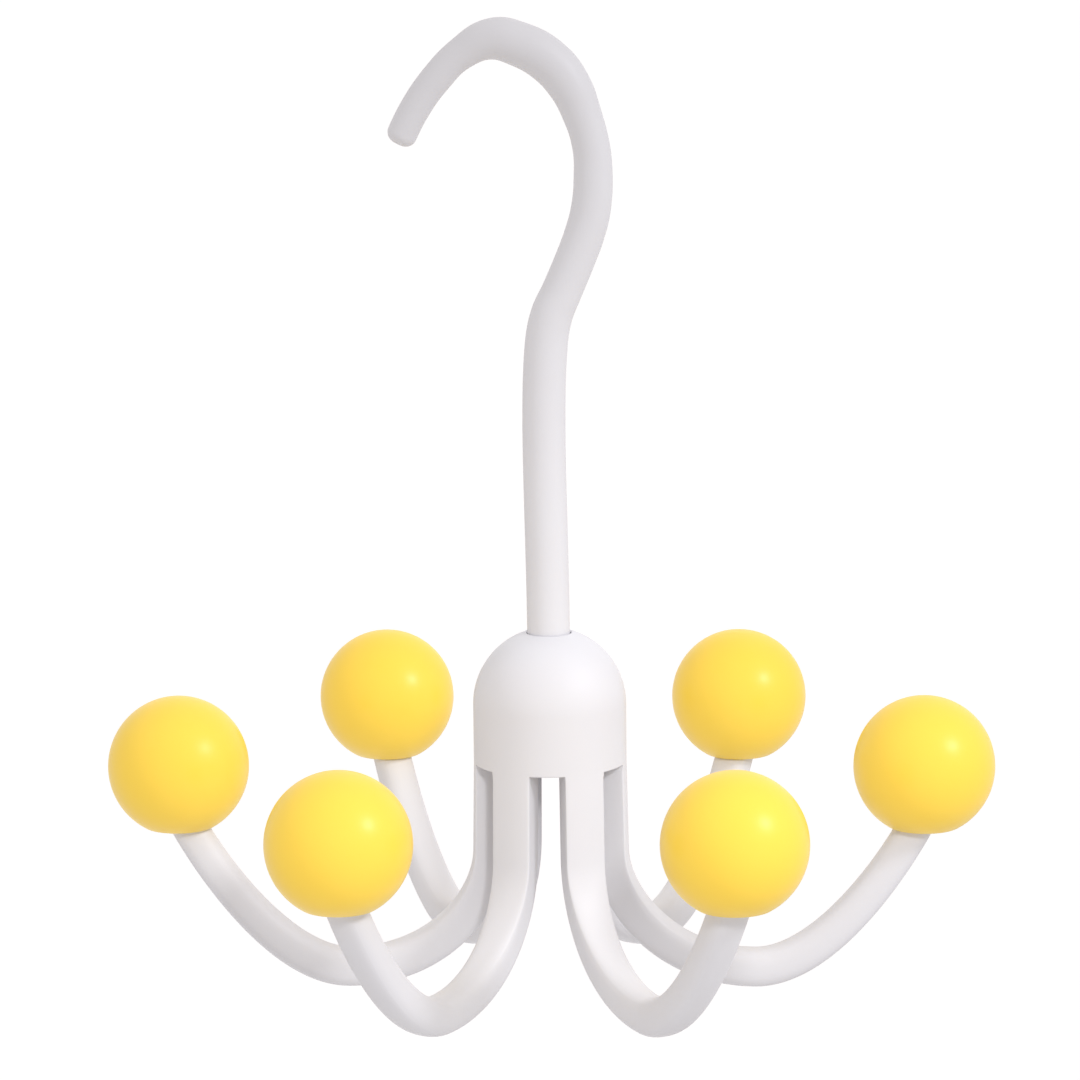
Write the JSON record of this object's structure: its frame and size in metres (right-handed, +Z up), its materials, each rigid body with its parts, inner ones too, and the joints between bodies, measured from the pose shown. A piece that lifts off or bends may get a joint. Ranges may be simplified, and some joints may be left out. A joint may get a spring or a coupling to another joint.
{
  "type": "multi-hook hanger",
  "caption": "Swivel hanger for belts, scarves and bags: a question-mark hook turns in a domed hub with curved arms, each tipped with a round ball so that straps don't slip off.",
  "frame": {"origin": "inside top of the hook's arch, where the rail bears", "axes": "+Z up along the stem and the swivel axis; the hook's opening faces -X, and the hook lies in the XZ plane"},
  "size_m": [0.2514, 0.223, 0.2763],
  "materials": {
    "white_plastic": "white moulded polypropylene, semi-gloss",
    "yellow_plastic": "warm yellow moulded plastic, satin",
    "zinc_steel": "bright zinc plate"
  },
  "bodies": {
    "hook": {"hook": "white_plastic", "retaining_washer": "zinc_steel", "retaining_screw": "zinc_steel"},
    "claw": {"claw_body": "white_plastic", "ball_right": "yellow_plastic", "ball_back_right": "yellow_plastic", "ball_back_left": "yellow_plastic", "ball_left": "yellow_plastic", "ball_front_left": "yellow_plastic", "ball_front_right": "yellow_plastic"}
  },
  "joints": [
    {"name": "swivel", "type": "hinge", "parent": "hook", "child": "claw", "pos_m": [0.01371, 0, -0.1673], "axis": [0, 0, 1], "continuous": true}
  ]
}
